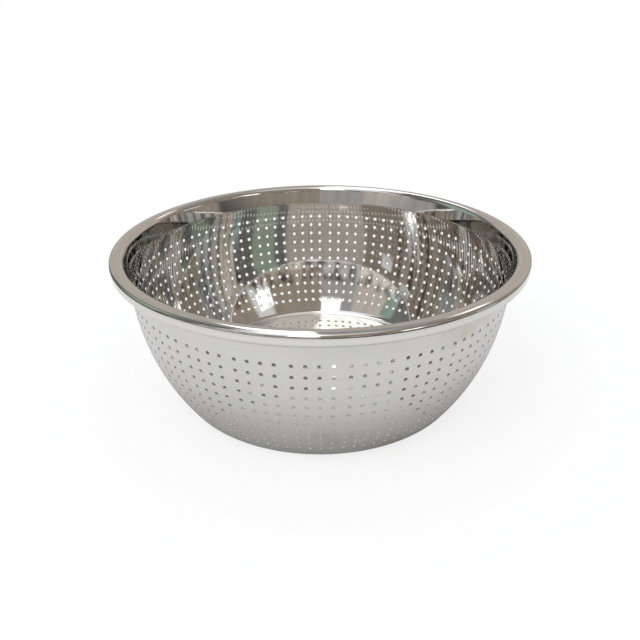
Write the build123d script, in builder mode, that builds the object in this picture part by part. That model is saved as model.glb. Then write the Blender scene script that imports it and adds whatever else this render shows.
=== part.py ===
from build123d import *
from math import asin, atan2, cos, degrees, hypot, pi, radians, sin
import os

# A punched colander bowl: one pressed steel sheet, with its edge rolled round a ring of wire.
# Millimetres, +Z up, origin at the middle of the face that the bowl rests on.

# Whole bowl
rim_radius = 150.0
height = 114.5
sheet = 0.6

# Base and wall, on the outside of the sheet
corner_radius = 7.6
wall_curve_radius = 165.6
upright_wall_inset = 12.0
wall_curve_depth = 18.0

# Crease and rolled rim
crease_depth = 15.0
crease_radius = 4.0
rim_width = 10.5
rim_height = 9.3
rim_inner_fillet = 4.8
crown_radius = 14.0
shoulder_radius = 1.2
curl_turn = 180.0

# Wire in the rim
wire_diameter = 5.0
wire_clearance = 0.3

# Holes, in groups of columns made by one stroke of the punch
hole_diameter = 2.5
row_pitch = 7.93
column_pitch = 8.2
group_gap = 9.9
columns_per_group = 4
first_row_drop = 9.3
blank_above_corner = 9.0
group_turn = -77.6
punch_overrun = 1.0

# Places of the wall: the curve ends at the corner, and the crease starts above it
wall_radius = rim_radius - upright_wall_inset
wall_centre = (wall_radius - wall_curve_radius, height - wall_curve_depth)
corner_angle = degrees(asin((wall_centre[1] - corner_radius) / (wall_curve_radius - corner_radius)))
base_radius = wall_centre[0] + (wall_curve_radius - corner_radius) * cos(radians(corner_angle))
crease_centre = (wall_radius + crease_radius, height - crease_depth)

# Places of the rim: the crown is level over the inner fillet and falls to the shoulder
fillet_centre = (rim_radius - rim_width + rim_inner_fillet, height - rim_inner_fillet)
crown_centre = (fillet_centre[0], height - crown_radius)
shoulder_reach = rim_radius - shoulder_radius - crown_centre[0]
crown_turn = degrees(asin(shoulder_reach / (crown_radius - shoulder_radius)))
shoulder_centre = (
    rim_radius - shoulder_radius,
    crown_centre[1] + (crown_radius - shoulder_radius) * cos(radians(crown_turn)),
)
curl_radius = wire_diameter / 2 + wire_clearance
wire_centre = (rim_radius - sheet - curl_radius, height - rim_height + sheet + curl_radius)

# The band between crease and rim is tangent to both, so its flare follows from them
fillet_from_crease = (fillet_centre[0] - crease_centre[0], fillet_centre[1] - crease_centre[1])
radius_change = rim_inner_fillet - sheet - crease_radius
flare = 90 - degrees(
    atan2(fillet_from_crease[1], fillet_from_crease[0]) + asin(radius_change / hypot(*fillet_from_crease))
)

# Hole pattern
wall_curve_length = radians(corner_angle) * wall_curve_radius
row_count = 1 + int((wall_curve_length - first_row_drop - blank_above_corner) / row_pitch)
group_width = (columns_per_group - 1) * column_pitch + group_gap
group_count = round(2 * pi * wall_radius / group_width)
group_angle = 360 / group_count
column_angle = degrees(column_pitch / wall_radius)

# The punched band reaches half a pitch beyond its first and last rows
band_high = degrees((first_row_drop - row_pitch / 2) / wall_curve_radius)
band_low = band_high + degrees(row_count * row_pitch / wall_curve_radius)


def hole_planes():
    """One plane for each hole of a group, with its normal square to the wall."""
    first_column = (group_angle - (columns_per_group - 1) * column_angle) / 2
    planes = []
    for row in range(row_count):
        slope = (first_row_drop + row * row_pitch) / wall_curve_radius
        reach = wall_curve_radius - sheet / 2
        radius = wall_centre[0] + reach * cos(slope)
        level = wall_centre[1] - reach * sin(slope)
        for column in range(columns_per_group):
            turn = radians(first_column + column * column_angle)
            planes.append(
                Plane(
                    origin=(radius * cos(turn), radius * sin(turn), level),
                    z_dir=(cos(slope) * cos(turn), cos(slope) * sin(turn), -sin(slope)),
                )
            )
    return planes


def base_face(lift):
    """Draws base, corner and lower wall on one face of the sheet, at a lift above its under face."""
    base_line = Line((0, lift), (base_radius, lift))
    CenterArc((base_radius, corner_radius), corner_radius - lift, -90, 90 - corner_angle)
    wall_arc = CenterArc(wall_centre, wall_curve_radius - lift, -corner_angle, corner_angle - band_low)
    return base_line @ 0, wall_arc @ 1


def band_face(lift):
    """Draws the punched band of the wall on one face of the sheet."""
    wall_arc = CenterArc(wall_centre, wall_curve_radius - lift, -band_low, band_low - band_high)
    return wall_arc @ 0, wall_arc @ 1


def rim_face(lift):
    """Draws upper wall, crease, crown, shoulder and curled edge on one face of the sheet."""
    rounding = lift - sheet
    wall_arc = CenterArc(wall_centre, wall_curve_radius - lift, -band_high, band_high)
    crease = CenterArc(crease_centre, crease_radius + lift, 180, -flare)
    Line(wall_arc @ 1, crease @ 0)
    fillet_arc = CenterArc(fillet_centre, rim_inner_fillet + rounding, 180 - flare, flare - 90)
    Line(crease @ 1, fillet_arc @ 0)
    CenterArc(crown_centre, crown_radius + rounding, 90, -crown_turn)
    shoulder = CenterArc(shoulder_centre, shoulder_radius + rounding, 90 - crown_turn, crown_turn - 90)
    curl = CenterArc(wire_centre, curl_radius + lift, 0, -curl_turn)
    Line(shoulder @ 1, curl @ 0)
    return wall_arc @ 0, curl @ 1


def sheet_section(draw_face):
    """Draws both faces of the sheet and joins their ends."""
    under_start, under_end = draw_face(0)
    upper_start, upper_end = draw_face(sheet)
    Line(under_start, upper_start)
    Line(under_end, upper_end)


# The punched band, as one group's share of it: the sheet turned through the group's angle and punched
with BuildPart() as punched_group:
    with BuildSketch(Plane.XZ):
        with BuildLine():
            sheet_section(band_face)
        make_face()
    revolve(axis=Axis.Z, revolution_arc=group_angle)
    with Locations(*hole_planes()):
        Cylinder(hole_diameter / 2, sheet + 2 * punch_overrun, mode=Mode.SUBTRACT)

# The bowl: base and rim as whole turns, and the punched band as a ring of groups
with BuildPart() as perforated_bowl:
    for draw_face in (base_face, rim_face):
        with BuildSketch(Plane.XZ):
            with BuildLine():
                sheet_section(draw_face)
            make_face()
        revolve(axis=Axis.Z)
    with PolarLocations(0, group_count, start_angle=group_turn - group_angle / 2):
        add(punched_group.part, clean=False)

# The wire lies in the curl of the rim
with BuildPart() as rim_wire:
    with BuildSketch(Plane.XZ):
        with Locations(wire_centre):
            Circle(wire_diameter / 2)
    revolve(axis=Axis.Z)

os.makedirs("parts", exist_ok=True)
perforated_bowl.part.label = "perforated_bowl"
export_step(perforated_bowl.part, "parts/perforated_bowl.step", write_pcurves=False)
rim_wire.part.label = "rim_wire"
export_step(rim_wire.part, "parts/rim_wire.step")
print(row_count, "rows in", group_count, "groups of", columns_per_group, "columns")
print("flare", round(flare, 2), "crown turn", round(crown_turn, 2), "base radius", round(base_radius, 2))
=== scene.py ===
"""Punched steel colander bowl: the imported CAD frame, dressed for a studio picture.

Metres, +Z up, origin at the middle of the face that the bowl rests on, as in the frame.
"""

import math

import bpy
from mathutils import Matrix, Vector


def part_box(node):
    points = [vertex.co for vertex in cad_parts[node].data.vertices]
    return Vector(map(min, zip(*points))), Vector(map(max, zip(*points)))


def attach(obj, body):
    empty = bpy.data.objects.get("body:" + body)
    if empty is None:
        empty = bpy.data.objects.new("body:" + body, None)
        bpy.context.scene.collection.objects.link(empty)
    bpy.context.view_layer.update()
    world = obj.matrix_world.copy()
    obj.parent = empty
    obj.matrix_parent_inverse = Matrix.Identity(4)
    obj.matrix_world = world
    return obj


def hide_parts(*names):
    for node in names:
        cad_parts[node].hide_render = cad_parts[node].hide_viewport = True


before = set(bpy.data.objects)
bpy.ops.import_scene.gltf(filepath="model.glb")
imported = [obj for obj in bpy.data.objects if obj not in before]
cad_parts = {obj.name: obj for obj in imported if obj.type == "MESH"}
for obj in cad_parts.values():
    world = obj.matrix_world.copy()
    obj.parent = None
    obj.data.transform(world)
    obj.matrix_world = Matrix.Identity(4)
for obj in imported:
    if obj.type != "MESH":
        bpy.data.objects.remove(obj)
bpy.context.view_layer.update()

MM = 0.001

# Sizes, from the frame
bowl_low, bowl_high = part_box("perforated_bowl")
wire_low, wire_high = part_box("rim_wire")
rim_radius = (bowl_high[0] - bowl_low[0]) / 2
height = bowl_high[2]
wire_radius = (wire_high[2] - wire_low[2]) / 2
wire_centre = (wire_high[0] - wire_radius, wire_low[2] + wire_radius)

# Sizes that the frame's boxes don't give
sheet = 0.6 * MM
corner_radius = 7.6 * MM
wall_curve_radius = 165.6 * MM
upright_wall_inset = 12.0 * MM
wall_curve_depth = 18.0 * MM
crease_depth = 15.0 * MM
crease_radius = 4.0 * MM
rim_width = 10.5 * MM
rim_inner_fillet = 4.8 * MM
crown_radius = 14.0 * MM
shoulder_radius = 2.4 * MM
curl_turn = 180.0
hole_radius = 1.25 * MM
hole_edge_depth = 0.12 * MM
outer_lip, inner_lip = 0.1 * MM, 0.35 * MM
outer_lip_turn, inner_lip_turn = 0.05, 0.12
lip_surround = 0.35 * MM
row_count = 11
row_pitch = 7.93 * MM
first_row_drop = 9.3 * MM
group_count = 25
columns_per_group = 4
column_pitch = 8.2 * MM
group_turn = -77.6

# How finely the mesh is cut: the cells of the punched band, and each run of the section above and below it
cell_side_steps = 5
base_centre_share = 0.02
base_steps, corner_steps, wall_end_steps, upright_steps = 14, 8, 2, 1
crease_steps, flare_steps, fillet_steps = 4, 3, 8
crown_steps, shoulder_steps, skirt_steps, curl_steps = 6, 8, 2, 18

# Places of the section, each run tangent to the next
wall_radius = rim_radius - upright_wall_inset
wall_centre = (wall_radius - wall_curve_radius, height - wall_curve_depth)
corner_reach = wall_curve_radius - corner_radius
corner_angle = math.degrees(math.asin((wall_centre[1] - corner_radius) / corner_reach))
base_radius = wall_centre[0] + corner_reach * math.cos(math.radians(corner_angle))
crease_centre = (wall_radius + crease_radius, height - crease_depth)
fillet_centre = (rim_radius - rim_width + rim_inner_fillet, height - rim_inner_fillet)
crown_centre = (fillet_centre[0], height - crown_radius)
crown_turn = math.degrees(
    math.asin((rim_radius - shoulder_radius - crown_centre[0]) / (crown_radius - shoulder_radius))
)
shoulder_centre = (
    rim_radius - shoulder_radius,
    crown_centre[1] + (crown_radius - shoulder_radius) * math.cos(math.radians(crown_turn)),
)
curl_radius = rim_radius - sheet - wire_centre[0]
across, up = fillet_centre[0] - crease_centre[0], fillet_centre[1] - crease_centre[1]
flare = 90 - math.degrees(
    math.atan2(up, across) + math.asin((rim_inner_fillet - sheet - crease_radius) / math.hypot(across, up))
)
group_angle = 360 / group_count
column_angle = math.degrees(column_pitch / wall_radius)
band_high = math.degrees((first_row_drop - row_pitch / 2) / wall_curve_radius)
row_angle = math.degrees(row_pitch / wall_curve_radius)
band_low = band_high + row_count * row_angle


# The sheet's section
def polar(angle):
    """Unit vector at an angle in degrees."""
    return math.cos(math.radians(angle)), math.sin(math.radians(angle))


def line(start, end, steps):
    """Points of the sheet's under face along a straight run, each with the way to the upper face."""
    dr, dz = end[0] - start[0], end[1] - start[1]
    length = math.hypot(dr, dz)
    way = (-dz / length, dr / length)
    shares = [i / steps for i in range(steps + 1)]
    return [((start[0] + dr * t, start[1] + dz * t), way) for t in shares]


def arc(centre, radius, start, turn, steps):
    """Points of the sheet's under face along an arc, each with the way to the upper face."""
    points = []
    for i in range(steps + 1):
        c, s = polar(start + turn * i / steps)
        way = (-c, -s) if turn > 0 else (c, s)
        points.append(((centre[0] + radius * c, centre[1] + radius * s), way))
    return points


def joined(*runs):
    """One run of points from several that touch end to end."""
    points = list(runs[0])
    for run in runs[1:]:
        points += run[1:]
    return points


def lower_section():
    """Base, corner and wall, up to the punched band."""
    return joined(
        line((base_radius * base_centre_share, 0), (base_radius, 0), base_steps),
        arc((base_radius, corner_radius), corner_radius, -90, 90 - corner_angle, corner_steps),
        arc(wall_centre, wall_curve_radius, -corner_angle, corner_angle - band_low, wall_end_steps),
    )


def upper_section():
    """Wall above the punched band, crease, crown, shoulder and curled edge."""
    crease = arc(crease_centre, crease_radius, 180, -flare, crease_steps)
    fillet = arc(fillet_centre, rim_inner_fillet - sheet, 180 - flare, flare - 90, fillet_steps)
    shoulder_start = 90 - crown_turn
    shoulder = arc(shoulder_centre, shoulder_radius - sheet, shoulder_start, crown_turn - 90, shoulder_steps)
    curl = arc(wire_centre, curl_radius, 0, -curl_turn, curl_steps)
    return joined(
        arc(wall_centre, wall_curve_radius, -band_high, band_high, wall_end_steps),
        line((wall_radius, wall_centre[1]), (wall_radius, crease_centre[1]), upright_steps),
        crease,
        line(crease[-1][0], fillet[0][0], flare_steps),
        fillet,
        arc(crown_centre, crown_radius - sheet, 90, -crown_turn, crown_steps),
        shoulder,
        line(shoulder[-1][0], curl[0][0], skirt_steps),
        curl,
    )


# The bowl's mesh
UNDER, UPPER = 0, 1
SATIN, POLISHED = 0, 1

# The way from a hole to the lower left corner of its cell, in degrees
CELL_CORNER = 225


class SheetMesh:
    """Vertices with their own normals, and faces with their finish."""

    def __init__(self):
        self.vertices, self.normals, self.faces, self.finishes = [], [], [], []

    def vertex(self, radius, level, azimuth, normal):
        """A vertex with its normal, which is given as (outwards, up, sideways) at that azimuth."""
        c, s = polar(azimuth)
        out, rise, side = normal
        self.vertices.append((radius * c, radius * s, level))
        self.normals.append((out * c - side * s, out * s + side * c, rise))
        return len(self.vertices) - 1

    def face(self, corners, finish, turned):
        """A face with its finish, its corners taken backwards where it is turned."""
        self.faces.append(tuple(reversed(corners)) if turned else tuple(corners))
        self.finishes.append(finish)

    def strip(self, ring_a, ring_b, finish, turned):
        """Quads between two closed rings of as many vertices."""
        count = len(ring_a)
        for i in range(count):
            j = (i + 1) % count
            self.face((ring_a[i], ring_a[j], ring_b[j], ring_b[i]), finish, turned)

    def object(self, name, materials):
        """The mesh as an object, with the kept normals."""
        mesh = bpy.data.meshes.new(name)
        mesh.from_pydata(self.vertices, [], self.faces)
        for material in materials:
            mesh.materials.append(material)
        mesh.polygons.foreach_set("material_index", self.finishes)
        mesh.polygons.foreach_set("use_smooth", [True] * len(self.faces))
        mesh.update()
        mesh.normals_split_custom_set_from_vertices(self.normals)
        piece = bpy.data.objects.new(name, mesh)
        bpy.context.scene.collection.objects.link(piece)
        return piece


def azimuths():
    """Every azimuth line round the bowl: each column's cell is cut into the same number of steps."""
    first_column = (group_angle - (columns_per_group - 1) * column_angle) / 2
    between_columns = [first_column + (i + 0.5) * column_angle for i in range(columns_per_group - 1)]
    edges = [0, *between_columns, group_angle]
    lines = []
    for group in range(group_count):
        start = group_turn - group_angle / 2 + group * group_angle
        for low, high in zip(edges, edges[1:]):
            lines += [start + low + (high - low) * i / cell_side_steps for i in range(cell_side_steps)]
    return lines


def column_azimuth(column):
    """The azimuth of a column of holes."""
    group, place = divmod(column, columns_per_group)
    middle = (columns_per_group - 1) / 2
    return group_turn + group * group_angle + (place - middle) * column_angle


def ring(mesh, point, way, side, lines):
    """A whole ring of vertices on one face of the sheet."""
    radius, level = point
    sign = 1 if side == UPPER else -1
    if side == UPPER:
        radius, level = radius + sheet * way[0], level + sheet * way[1]
    normal = (sign * way[0], sign * way[1], 0)
    return [mesh.vertex(radius, level, azimuth, normal) for azimuth in lines]


def wall_place(side, slope):
    """Radius, level and outward normal of the punched wall at a slope below the wall's centre."""
    c, s = polar(slope)
    reach = wall_curve_radius - (sheet if side == UPPER else 0)
    sign = -1 if side == UPPER else 1
    return wall_centre[0] + reach * c, wall_centre[1] - reach * s, (sign * c, -sign * s, 0)


def lattice(mesh, side, lines):
    """The edges of the cells of the punched band: {(row line, azimuth line): vertex}."""
    steps = cell_side_steps
    grid = {}
    for i in range(row_count * steps + 1):
        radius, level, normal = wall_place(side, band_low - row_angle * i / steps)
        for j, azimuth in enumerate(lines):
            if i % steps == 0 or j % steps == 0:
                grid[i, j] = mesh.vertex(radius, level, azimuth, normal)
    return grid


def cell_border(grid, row, column, line_count):
    """The vertices round one cell, from its lower left corner, along the lower side first."""
    steps = cell_side_steps
    i, j = row * steps, column * steps
    sides = [(i, j + k) for k in range(steps)]
    sides += [(i + k, j + steps) for k in range(steps)]
    sides += [(i + steps, j + steps - k) for k in range(steps)]
    sides += [(i + steps - k, j) for k in range(steps)]
    return [grid[a, b % line_count] for a, b in sides]


def hole_ring(mesh, side, row, column, radius, depth, turned):
    """A ring of vertices round a hole, that far into the sheet.

    Its normals are turned by that share from square to the sheet to straight into the hole.
    """
    slope = band_low - row_angle * (row + 0.5)
    azimuth = column_azimuth(column)
    count = 4 * cell_side_steps
    indices = []
    for k in range(count):
        c, s = polar(CELL_CORNER + 360 * k / count)
        place_slope = slope - math.degrees(radius * s / wall_curve_radius)
        reach, level, normal = wall_place(side, place_slope)
        turn = math.degrees(radius * c / reach)
        reach, level = reach - depth * normal[0], level - depth * normal[1]
        slope_cos, slope_sin = polar(slope)
        inwards = (-s * slope_sin, -s * slope_cos, -c)
        normal = tuple((1 - turned) * a + turned * b for a, b in zip(normal, inwards))
        indices.append(mesh.vertex(reach, level, azimuth + turn, normal))
    return indices


def punched_band(mesh, lines):
    """Both faces of the band, with their holes. Returns the lowest and highest ring of each face."""
    edges = {side: lattice(mesh, side, lines) for side in (UNDER, UPPER)}
    top = row_count * cell_side_steps
    for row in range(row_count):
        for column in range(group_count * columns_per_group):
            throat = {}
            for side, finish, lip_width, lip_turn in (
                (UNDER, SATIN, outer_lip, outer_lip_turn),
                (UPPER, POLISHED, inner_lip, inner_lip_turn),
            ):
                turned = side == UPPER
                lip_radius = hole_radius + lip_width
                border = cell_border(edges[side], row, column, len(lines))
                lip = hole_ring(mesh, side, row, column, lip_radius, 0, lip_turn)
                surround = hole_ring(mesh, side, row, column, lip_radius + lip_surround, 0, 0)
                throat[side] = hole_ring(mesh, side, row, column, hole_radius, hole_edge_depth, 1)
                mesh.strip(border, surround, finish, turned)
                mesh.strip(surround, lip, finish, turned)
                mesh.strip(lip, throat[side], finish, turned)
            mesh.strip(throat[UNDER], throat[UPPER], SATIN, False)
    return {
        side: [[grid[i, j] for j in range(len(lines))] for i in (0, top)] for side, grid in edges.items()
    }


def bowl_mesh():
    """The whole sheet as one closed mesh."""
    mesh = SheetMesh()
    lines = azimuths()
    band = punched_band(mesh, lines)
    end = {}
    for side, finish in ((UNDER, SATIN), (UPPER, POLISHED)):
        turned = side == UPPER
        lower = [ring(mesh, point, way, side, lines) for point, way in lower_section()[:-1]]
        upper = [ring(mesh, point, way, side, lines) for point, way in upper_section()[1:]]
        lower.append(band[side][0])
        upper.insert(0, band[side][1])
        for run in (lower, upper):
            for a, b in zip(run, run[1:]):
                mesh.strip(a, b, finish, turned)
        centre = mesh.vertex(0, sheet if side == UPPER else 0, 0, (0, 1 if side == UPPER else -1, 0))
        for i, vertex in enumerate(lower[0]):
            mesh.face((centre, lower[0][(i + 1) % len(lines)], vertex), finish, turned)
        end[side] = upper[-1]
    mesh.strip(end[UNDER], end[UPPER], SATIN, False)
    return mesh


# Materials
satin_dark = (0.67, 0.665, 0.65)
satin_light = (0.70, 0.695, 0.68)
satin_smear = (0.60, 0.57, 0.52)
satin_roughness = (0.30, 0.37)
satin_patch_scale, satin_patch_detail = 26.0, 4.0
smear_range = (0.58, 0.74)
satin_line_sway = 3.0
satin_line_fineness = 900.0
satin_line_depth = 0.002 * MM
polish_dark = (0.695, 0.685, 0.665)
polish_light = (0.71, 0.70, 0.68)
polish_roughness = (0.03, 0.06)
rim_wear = 0.9
wave_scale, wave_detail = 50.0, 1.0
wave_depth = 0.05 * MM
haze_scale, haze_detail = 14.0, 3.0
haze_range = (0.35, 0.75)
polish_line_sway = 2.0
polish_line_fineness = 700.0
polish_line_depth = 0.005 * MM
base_line_share = 0.3
line_detail = 2.0
least_line_radius = 1 * MM
noise_range = (0.3, 0.7)

# The rim's colour comes down to its wear between these levels
rim_levels = (fillet_centre[1], fillet_centre[1] + rim_inner_fillet / 2)

# Sockets of a Mix node that is set to colours
FIRST_COLOUR, SECOND_COLOUR, MIXED_COLOUR = 6, 7, 2


def new_material(name):
    """A material, its node tree and its shader."""
    material = bpy.data.materials.new(name)
    material.use_nodes = True
    tree = material.node_tree
    return material, tree, tree.nodes["Principled BSDF"]


def math_node(tree, operation, *values):
    """A maths node, from sockets and numbers."""
    node = tree.nodes.new("ShaderNodeMath")
    node.operation = operation
    for socket, value in zip(node.inputs, values):
        if isinstance(value, (int, float)):
            socket.default_value = value
        else:
            tree.links.new(value, socket)
    return node.outputs[0]


def noise_node(tree, vector, scale, detail, turn=None):
    """Noise in three dimensions, or in four where turn gives the fourth."""
    node = tree.nodes.new("ShaderNodeTexNoise")
    node.inputs["Scale"].default_value = scale
    node.inputs["Detail"].default_value = detail
    tree.links.new(vector, node.inputs["Vector"])
    if turn is not None:
        node.noise_dimensions = "4D"
        tree.links.new(turn, node.inputs["W"])
    return node.outputs["Fac"]


def spread(tree, value, low, high, out_low, out_high, interpolation="LINEAR"):
    """A value's range carried over to another, and kept inside it."""
    node = tree.nodes.new("ShaderNodeMapRange")
    node.interpolation_type = interpolation
    tree.links.new(value, node.inputs["Value"])
    for name, number in (("From Min", low), ("From Max", high), ("To Min", out_low), ("To Max", out_high)):
        node.inputs[name].default_value = number
    return node.outputs["Result"]


def smooth_step(tree, value, start, end, low, high):
    """A smooth change from low to high between two values."""
    return spread(tree, value, start, end, low, high, "SMOOTHSTEP")


def blended(tree, share, first, second):
    """Two colours mixed by a share."""
    node = tree.nodes.new("ShaderNodeMix")
    node.data_type = "RGBA"
    tree.links.new(share, node.inputs["Factor"])
    for place, value in ((FIRST_COLOUR, first), (SECOND_COLOUR, second)):
        socket = node.inputs[place]
        if isinstance(value, tuple):
            socket.default_value = (*value, 1)
        else:
            tree.links.new(value, socket)
    return node.outputs[MIXED_COLOUR]


def scaled(tree, colour, factor):
    """A colour made brighter or darker by a factor."""
    node = tree.nodes.new("ShaderNodeVectorMath")
    node.operation = "SCALE"
    tree.links.new(colour, node.inputs[0])
    tree.links.new(factor, node.inputs["Scale"])
    return node.outputs[0]


def spun_lines(tree, position, sway, fineness):
    """Noise drawn out round the bowl's axis, as left by spinning and polishing.

    It changes slowly with the azimuth, by sway, and quickly with radius and level, by fineness.
    """
    place = tree.nodes.new("ShaderNodeSeparateXYZ")
    tree.links.new(position, place.inputs[0])
    x, y, z = place.outputs
    squares = [math_node(tree, "MULTIPLY", value, value) for value in (x, y)]
    radius = math_node(tree, "SQRT", math_node(tree, "ADD", *squares))
    safe_radius = math_node(tree, "MAXIMUM", radius, least_line_radius)
    vector = tree.nodes.new("ShaderNodeCombineXYZ")
    for socket, value in zip(vector.inputs, (x, y)):
        heading = math_node(tree, "DIVIDE", value, safe_radius)
        tree.links.new(math_node(tree, "MULTIPLY", heading, sway), socket)
    tree.links.new(math_node(tree, "MULTIPLY", radius, fineness), vector.inputs[2])
    rise = math_node(tree, "MULTIPLY", z, fineness)
    return noise_node(tree, vector.outputs[0], 1.0, line_detail, rise)


def bumped(tree, shader, *layers):
    """Bump layers on a shader: each is a height from 0 to 1 and its depth."""
    normal = None
    for value, depth in layers:
        node = tree.nodes.new("ShaderNodeBump")
        node.inputs["Strength"].default_value = 1.0
        node.inputs["Distance"].default_value = depth
        tree.links.new(value, node.inputs["Height"])
        if normal is not None:
            tree.links.new(normal, node.inputs["Normal"])
        normal = node.outputs[0]
    tree.links.new(normal, shader.inputs["Normal"])


def object_position(tree):
    """The place on the object."""
    return tree.nodes.new("ShaderNodeTexCoord").outputs["Object"]


def satin_steel():
    """The outside: evenly matt, with fine lines round the bowl and faint warm smears."""
    material, tree, shader = new_material("satin_steel")
    position = object_position(tree)
    lines = spun_lines(tree, position, satin_line_sway, satin_line_fineness)
    patches = noise_node(tree, position, satin_patch_scale, satin_patch_detail)
    smears = spread(tree, patches, *smear_range, 0.0, 1.0)
    steel = blended(tree, spread(tree, lines, *noise_range, 0.0, 1.0), satin_dark, satin_light)
    tree.links.new(blended(tree, smears, steel, satin_smear), shader.inputs["Base Color"])
    tree.links.new(spread(tree, patches, *noise_range, *satin_roughness), shader.inputs["Roughness"])
    shader.inputs["Metallic"].default_value = 1.0
    bumped(tree, shader, (lines, satin_line_depth))
    return material


def height_of(tree, position):
    """The height of a place."""
    place = tree.nodes.new("ShaderNodeSeparateXYZ")
    tree.links.new(position, place.inputs[0])
    return place.outputs["Z"]


def line_relief(tree, position, lines):
    """The polishing lines' height: full on the wall, less on the base and none on the rim."""
    level = height_of(tree, position)
    on_wall = smooth_step(tree, level, 2 * sheet, 2 * corner_radius, base_line_share, 1)
    under_rim = smooth_step(tree, level, crease_centre[1] - crease_radius, crease_centre[1], 1, 0)
    return math_node(tree, "MULTIPLY", math_node(tree, "MULTIPLY", lines, on_wall), under_rim)


def polished_steel():
    """The inside and the rim: a mirror that the pressing left a little wavy."""
    material, tree, shader = new_material("polished_steel")
    position = object_position(tree)
    waves = noise_node(tree, position, wave_scale, wave_detail)
    lines = spun_lines(tree, position, polish_line_sway, polish_line_fineness)
    haze = noise_node(tree, position, haze_scale, haze_detail)
    steel = blended(tree, spread(tree, lines, *noise_range, 0.0, 1.0), polish_dark, polish_light)
    wear = smooth_step(tree, height_of(tree, position), *rim_levels, 1, rim_wear)
    tree.links.new(scaled(tree, steel, wear), shader.inputs["Base Color"])
    tree.links.new(spread(tree, haze, *haze_range, *polish_roughness), shader.inputs["Roughness"])
    shader.inputs["Metallic"].default_value = 1.0
    bumped(tree, shader, (waves, wave_depth), (line_relief(tree, position, lines), polish_line_depth))
    return material


# The pieces
satin, polished = satin_steel(), polished_steel()
bowl = bowl_mesh().object("bowl_sheet", [satin, polished])
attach(bowl, "root")
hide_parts("perforated_bowl")
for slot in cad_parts["rim_wire"].material_slots:
    slot.material = satin

# Floor
WHITE = (1.0, 1.0, 1.0)
floor_reach = 0.5
floor_corners = 64
floor_gap = 0.2 * MM
floor_tone = (0.86, 0.855, 0.845)
# Painted shadow: a darker floor tone close round the bowl that fades out between the two radii below. All
# but camera rays see it, so the metal mirrors it as the bowl's shade
floor_painted_shadow_tone = (0.60, 0.59, 0.57)
painted_shadow_radius, painted_shadow_end_radius = 0.11, 0.17
floor_shadow_share = 0.25


def add_floor():
    """A pale floor. The camera sees it white, with a share of its shadows."""
    mesh = bpy.data.meshes.new("floor")
    edge = [polar(360 * i / floor_corners) for i in range(floor_corners)]
    corners = [(floor_reach * c, floor_reach * s, 0) for c, s in edge]
    mesh.from_pydata(corners, [], [tuple(range(floor_corners))])
    floor = bpy.data.objects.new("floor", mesh)
    floor.location.z = -floor_gap
    bpy.context.scene.collection.objects.link(floor)
    material, tree, shader = new_material("floor")
    nodes, links = tree.nodes, tree.links
    mesh.materials.append(material)
    length = nodes.new("ShaderNodeVectorMath")
    length.operation = "LENGTH"
    links.new(object_position(tree), length.inputs[0])
    # Painted shadow: the floor's tone is darker inside these radii round the bowl
    away = smooth_step(tree, length.outputs["Value"], painted_shadow_radius, painted_shadow_end_radius, 0, 1)
    tone = blended(tree, away, floor_painted_shadow_tone, floor_tone)
    seen = nodes.new("ShaderNodeLightPath").outputs["Is Camera Ray"]
    links.new(blended(tree, seen, tone, WHITE), shader.inputs["Base Color"])
    shader.inputs["Roughness"].default_value = 1.0
    shader.inputs["Specular IOR Level"].default_value = 0.0
    white = nodes.new("ShaderNodeEmission")
    mix = nodes.new("ShaderNodeMixShader")
    links.new(math_node(tree, "MULTIPLY", seen, 1 - floor_shadow_share), mix.inputs[0])
    links.new(shader.outputs[0], mix.inputs[1])
    links.new(white.outputs[0], mix.inputs[2])
    links.new(mix.outputs[0], nodes["Material Output"].inputs["Surface"])


# The room round the bowl, in a few plain tones
BLACK = (0.0, 0.0, 0.0)
DARK = (0.1, 0.1, 0.1)
SHADE = (0.2, 0.2, 0.2)
WOOD = (0.35, 0.3, 0.25)
STONE = (0.4, 0.4, 0.4)
PLASTER = (0.6, 0.55, 0.5)
PAINT = (0.8, 0.8, 0.8)
GARDEN = (0.4, 0.5, 0.4)
TEAL = (0.3, 0.4, 0.35)
SKY = (1.1, 1.1, 1.2)
CEILING = (2.0, 2.0, 2.0)
CEILING_SHADE = (0.9, 0.85, 0.8)
GLARE = (3.0, 3.0, 3.0)

# The room in levels. Each has the elevation it starts at, how softly it starts, how softly its walls meet,
# and its walls round the azimuth: where each ends, and its tone. All are in degrees. Azimuth 0 is beyond the
# bowl from the camera, and 90 is on the right.
ROOM_BANDS = {
    "floor": (-90, 1, 4, ((-100, STONE), (-40, DARK), (50, STONE), (110, WOOD), (180, DARK))),
    "walls": (
        5,
        4,
        4,
        (
            (-150, STONE),
            (-115, PLASTER),
            (-90, SHADE),
            (-60, GARDEN),
            (-45, SHADE),
            (60, PLASTER),
            (180, WOOD),
        ),
    ),
    "upper_walls": (45, 5, 4, ((-115, SKY), (-40, SHADE), (60, STONE), (180, WOOD))),
    "ceiling": (70, 10, 15, ((0, CEILING), (165, CEILING_SHADE), (180, CEILING))),
}

# How unevenly bright the room is: all over, and where clutter stands low down behind the camera
ROOM_GRAIN = (0.90, 1.10)
CLUTTER = (0.25, 1.45)
grain_stretch = (1.0, 1.0, 0.4)
grain_scale, grain_detail = 13.0, 2.0
clutter_range = (0.36, 0.64)
clutter_aside = (96, 112)
clutter_foot, clutter_top = (9, 12), (24, 27)

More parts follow.
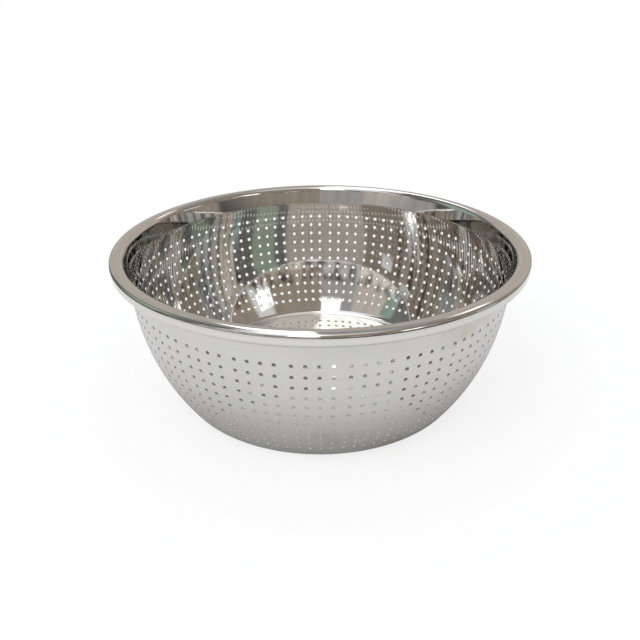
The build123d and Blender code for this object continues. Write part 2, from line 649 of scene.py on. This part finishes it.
# Things in the room: azimuth and elevation of the middle, width, height and edge softness, all in degrees,
# and the tone
ROOM_THINGS = {
    "window_beyond": (-10, 54, 17, 24, 2, GLARE),
    "window_beyond_right": (35, 42, 12, 8, 3, CEILING),
    "ceiling_window": (-60, 70, 36, 8, 3, CEILING),
    "window_behind": (-170, 62, 17, 52, 3, GLARE),
    "bench_behind": (168, 14, 24, 8, 2, PLASTER),
    "crate": (-117, 29, 11, 13, 2, TEAL),
    "crate_label": (-120, 23, 8, 4, 1, PAINT),
    "window_right": (90, 12, 14, 8, 3, SKY),
    "lamp_glow": (128, 31, 16, 20, 5, PAINT),
    "lamp": (131, 29, 12, 9, 3, GLARE),
}

# Light from all round, on what doesn't mirror the room
DAYLIGHT = (0.90, 0.91, 0.92)


def band_colour(tree, turn_share, softness, parts):
    """The colours of one band round the azimuth, whose share of a whole turn is given."""
    ramp = tree.nodes.new("ShaderNodeValToRGB")
    tree.links.new(turn_share, ramp.inputs["Fac"])
    stops = [(0.0, parts[0][1])]
    for (end, colour), (_, following) in zip(parts, parts[1:]):
        stops.append(((end - softness / 2 + 180) / 360, colour))
        stops.append(((end + softness / 2 + 180) / 360, following))
    elements = ramp.color_ramp.elements
    elements[1].position = 1.0
    elements[1].color = (*parts[-1][1], 1)
    elements[0].color = (*stops[0][1], 1)
    for position, colour in stops[1:]:
        elements.new(position).color = (*colour, 1)
    return ramp.outputs["Color"]


def thing_share(tree, azimuth, elevation, middle, level, width, rise, softness):
    """1 on a small thing in the room, falling softly to 0 round it."""
    aside = math_node(tree, "SUBTRACT", azimuth, math.radians(middle))
    aside = math_node(tree, "WRAP", aside, math.pi, -math.pi)
    aside = math_node(tree, "SUBTRACT", math_node(tree, "ABSOLUTE", aside), math.radians(width / 2))
    above = math_node(tree, "ABSOLUTE", math_node(tree, "SUBTRACT", elevation, math.radians(level)))
    above = math_node(tree, "SUBTRACT", above, math.radians(rise / 2))
    away = math_node(tree, "MAXIMUM", aside, above)
    edge = math.radians(softness / 2)
    return smooth_step(tree, away, -edge, edge, 1, 0)


def room_grain(tree, direction, azimuth, elevation):
    """Uneven brightness of the room: faint all over, and strong where clutter stands behind the camera."""
    stretch = tree.nodes.new("ShaderNodeVectorMath")
    stretch.operation = "MULTIPLY"
    stretch.inputs[1].default_value = grain_stretch
    tree.links.new(direction, stretch.inputs[0])
    noise = noise_node(tree, stretch.outputs[0], grain_scale, grain_detail)
    faint = spread(tree, noise, *noise_range, *ROOM_GRAIN)
    strong = spread(tree, noise, *clutter_range, *CLUTTER)
    aside = math_node(tree, "ABSOLUTE", azimuth)
    behind = smooth_step(tree, aside, *map(math.radians, clutter_aside), 0, 1)
    below_top = smooth_step(tree, elevation, *map(math.radians, clutter_top), 1, 0)
    above_foot = smooth_step(tree, elevation, *map(math.radians, clutter_foot), 0, 1)
    share = math_node(tree, "MULTIPLY", behind, math_node(tree, "MULTIPLY", below_top, above_foot))
    mixed = math_node(tree, "MULTIPLY", math_node(tree, "SUBTRACT", strong, faint), share)
    return math_node(tree, "ADD", faint, mixed)


def add_world():
    """A room that metal mirrors. The camera sees plain white, and the floor gets plain soft light."""
    world = bpy.data.worlds.new("room")
    bpy.context.scene.world = world
    world.use_nodes = True
    tree = world.node_tree
    background = tree.nodes["Background"]
    direction = tree.nodes.new("ShaderNodeTexCoord").outputs["Generated"]
    way = tree.nodes.new("ShaderNodeSeparateXYZ")
    tree.links.new(direction, way.inputs[0])
    azimuth = math_node(tree, "ARCTAN2", way.outputs["X"], way.outputs["Y"])
    elevation = math_node(tree, "ARCSINE", way.outputs["Z"])
    turn_share = math_node(tree, "MULTIPLY_ADD", azimuth, 0.5 / math.pi, 0.5)
    colour = BLACK
    for start, softness, part_softness, parts in ROOM_BANDS.values():
        low, high = math.radians(start - softness / 2), math.radians(start + softness / 2)
        share = smooth_step(tree, elevation, low, high, 0, 1)
        colour = blended(tree, share, colour, band_colour(tree, turn_share, part_softness, parts))
    for *place, thing_colour in ROOM_THINGS.values():
        colour = blended(tree, thing_share(tree, azimuth, elevation, *place), colour, thing_colour)
    room = scaled(tree, colour, room_grain(tree, direction, azimuth, elevation))
    path = tree.nodes.new("ShaderNodeLightPath")
    colour = blended(tree, path.outputs["Is Glossy Ray"], DAYLIGHT, room)
    colour = blended(tree, path.outputs["Is Camera Ray"], colour, WHITE)
    tree.links.new(colour, background.inputs["Color"])


# Key light
key_azimuth, key_elevation = -140, 52
key_distance = 2.0
key_size = 1.2
key_power = 9.0


def add_key_light():
    """Window light from the left behind the camera. It lights the floor and isn't mirrored."""
    data = bpy.data.lights.new("window_light", "AREA")
    data.shape = "DISK"
    data.size = key_size
    data.energy = key_power
    lamp = bpy.data.objects.new("window_light", data)
    bpy.context.scene.collection.objects.link(lamp)
    lamp.visible_glossy = False
    lamp.visible_camera = False
    (level, rise), (ahead, aside) = polar(key_elevation), polar(key_azimuth)
    way = Vector((level * aside, level * ahead, rise))
    lamp.location = key_distance * way
    lamp.rotation_euler = way.to_track_quat("Z", "Y").to_euler()


add_floor()
add_world()
add_key_light()

# Camera
focal_length = 659.5
image_width = 640
sensor_width = 36.0
clip_start = 0.01
distance = 3.256 * rim_radius
elevation = 19.8
aim_side, aim_up = -0.045, -7.03
roll = -0.42


def add_camera():
    """A camera that looks from the front and above, at a point below the rim's middle."""
    c, s = polar(elevation)
    ahead = Vector((0, c, -s))
    right = Vector((1, 0, 0))
    view_up = right.cross(ahead)
    aside, upwards = math.tan(math.radians(aim_side)), math.tan(math.radians(aim_up))
    ahead = (ahead + aside * right + upwards * view_up).normalized()
    right = ahead.cross(Vector((0, 0, 1))).normalized()
    view_up = right.cross(ahead)
    c, s = polar(roll)
    right, view_up = c * right + s * view_up, -s * right + c * view_up
    data = bpy.data.cameras.new("camera")
    data.sensor_width = sensor_width
    data.lens = focal_length / image_width * sensor_width
    data.clip_start = clip_start
    camera = bpy.data.objects.new("camera", data)
    bpy.context.scene.collection.objects.link(camera)
    turn = Matrix((right, view_up, -ahead)).transposed().to_4x4()
    c, s = polar(elevation)
    turn.translation = Vector((0, -distance * c, height + distance * s))
    camera.matrix_world = turn
    bpy.context.scene.camera = camera


add_camera()
bpy.context.scene.view_settings.view_transform = "Standard"
